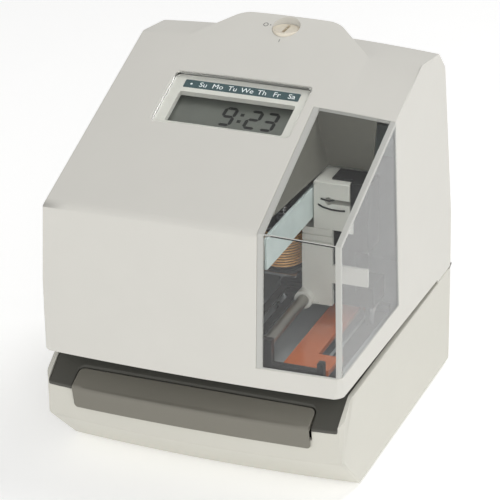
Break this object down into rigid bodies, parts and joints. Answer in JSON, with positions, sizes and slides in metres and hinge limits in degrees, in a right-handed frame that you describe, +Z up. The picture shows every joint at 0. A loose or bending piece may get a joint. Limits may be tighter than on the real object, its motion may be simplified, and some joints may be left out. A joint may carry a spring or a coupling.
{
  "type": "time clock",
  "caption": "Electronic time clock with a card slot between base and lift-off cover, sloped display, clear corner window over a print carriage, push bar and key lock.",
  "frame": {"origin": "middle of the footprint's box on the table under the rubber feet", "axes": "+Z up, +X to the user's right, the front with the print bar and slot faces -Y"},
  "size_m": [0.16, 0.1821, 0.2007],
  "materials": {
    "base_plastic": "fine moulded grain, off-white",
    "cover_plastic": "fine moulded grain, light warm grey",
    "clear_plastic": "clear moulded plastic, polished",
    "lining_plastic": "grey moulded lining",
    "frame_plastic": "pale glossy frame",
    "strip_print": "dark printed strip",
    "throat_plastic": "dark grey moulded plate",
    "bar_plastic": "mid grey moulded bar",
    "foot_rubber": "soft rubber",
    "platen_rubber": "hard rubber",
    "black_plastic": "black moulded plastic",
    "belt_rubber": "moulded belt",
    "ribbon_fabric": "inked woven ribbon",
    "cassette_plastic": "dark grey cassette",
    "lid_plastic": "glossy orange-red lid",
    "white_plastic": "white moulded plastic",
    "zinc_sheet": "zinc plated sheet",
    "rail_paint": "pale blue-grey rail",
    "bright_steel": "bright steel",
    "core_steel": "laminated steel",
    "coil_wrap": "tan insulating wrap",
    "copper_wire": "enamelled copper wire",
    "board_laminate": "green laminate",
    "brass_standoff": "turned brass",
    "battery_wrap": "shrink wrap",
    "lcd_glass": "grey-green liquid crystal panel",
    "lock_nickel": "nickel plated"
  },
  "bodies": {
    "chassis": {"base_housing": "base_plastic", "rubber_feet": "foot_rubber", "base_screws": "bright_steel", "chassis_base": "zinc_sheet", "throat_plate": "throat_plastic", "card_sensor": "black_plastic", "platen": "platen_rubber", "platen_support": "zinc_sheet", "rear_frame": "zinc_sheet", "upper_guide": "zinc_sheet", "left_plate": "zinc_sheet", "middle_plate": "zinc_sheet", "frame_screws": "bright_steel", "guide_rail": "rail_paint", "guide_rod": "bright_steel", "front_bracket": "black_plastic", "transformer_core": "core_steel", "transformer_coil": "coil_wrap", "power_inlet": "black_plastic", "main_board": "board_laminate", "board_standoffs": "brass_standoff", "board_parts": "black_plastic", "backup_battery": "battery_wrap", "display_shelf": "zinc_sheet", "display_board": "board_laminate", "lcd_panel": "lcd_glass", "lock_catch": "zinc_sheet", "magnet_yoke": "bright_steel", "magnet_bobbin": "black_plastic", "magnet_winding": "copper_wire", "plunger_spring": "bright_steel", "drive_motor": "core_steel", "belt_brackets": "zinc_sheet", "drive_belt": "belt_rubber", "ribbon_cassette": "cassette_plastic", "cassette_lid": "lid_plastic", "ink_ribbon": "ribbon_fabric", "bar_pins": "bright_steel", "bar_springs": "bright_steel", "bar_sensor": "black_plastic"},
    "clamp": {"plunger": "bright_steel", "clamp_pad": "foot_rubber"},
    "motor_pulley": {"motor_pulley": "white_plastic"},
    "idler": {"idler_pulley": "white_plastic"},
    "carriage": {"print_column": "white_plastic", "upper_block": "white_plastic", "print_head": "black_plastic", "needle_nose": "bright_steel"},
    "ribbon_knob": {"ribbon_knob": "white_plastic"},
    "print_bar": {"print_bar": "bar_plastic"},
    "cover": {"cover_shell": "cover_plastic", "corner_window": "clear_plastic", "window_lining": "lining_plastic", "display_frame": "frame_plastic", "display_lens": "clear_plastic", "day_strip": "strip_print", "lock_barrel": "lock_nickel", "lock_nut": "lock_nickel"},
    "lock": {"lock_plug": "lock_nickel", "lock_cam": "lock_nickel"}
  },
  "joints": [
    {"name": "print_bar_press", "type": "hinge", "parent": "chassis", "child": "print_bar", "pos_m": [0, -0.051, 0.04], "axis": [1, 0, 0], "range_deg": [0, 4.2], "stiffness_Nm_per_rad": 4, "springref_deg": -2.86, "deforming": ["bar_springs"]},
    {"name": "clamp_press", "type": "slide", "parent": "chassis", "child": "clamp", "axis": [0, 0, -1], "range_m": [0, 0.0045], "stiffness_N_per_m": 300, "springref_m": -0.003, "deforming": ["plunger_spring"]},
    {"name": "carriage_travel", "type": "slide", "parent": "chassis", "child": "carriage", "axis": [0, -1, 0], "range_m": [0, 0.045]},
    {"name": "motor_spin", "type": "hinge", "parent": "chassis", "child": "motor_pulley", "pos_m": [0, 0.053, 0.0775], "axis": [1, 0, 0], "range_deg": [0, 480]},
    {"name": "idler_spin", "type": "hinge", "parent": "chassis", "child": "idler", "pos_m": [0, -0.071, 0.0775], "axis": [1, 0, 0], "range_deg": [0, 480]},
    {"name": "ribbon_knob_turn", "type": "hinge", "parent": "chassis", "child": "ribbon_knob", "pos_m": [0.0515, 0.003, 0.073], "axis": [0, 0, 1], "continuous": true},
    {"name": "cover_lift", "type": "slide", "parent": "chassis", "child": "cover", "axis": [0, 0, 1], "range_m": [0, 0.14]},
    {"name": "lock_turn", "type": "hinge", "parent": "cover", "child": "lock", "pos_m": [0, 0.0505, 0.19], "axis": [0, 0, -1], "range_deg": [0, 90]}
  ],
  "couplings": [
    {"joint": "motor_spin", "follows": "carriage_travel", "rad_per_m": 185.19},
    {"joint": "idler_spin", "follows": "carriage_travel", "rad_per_m": 185.19}
  ]
}
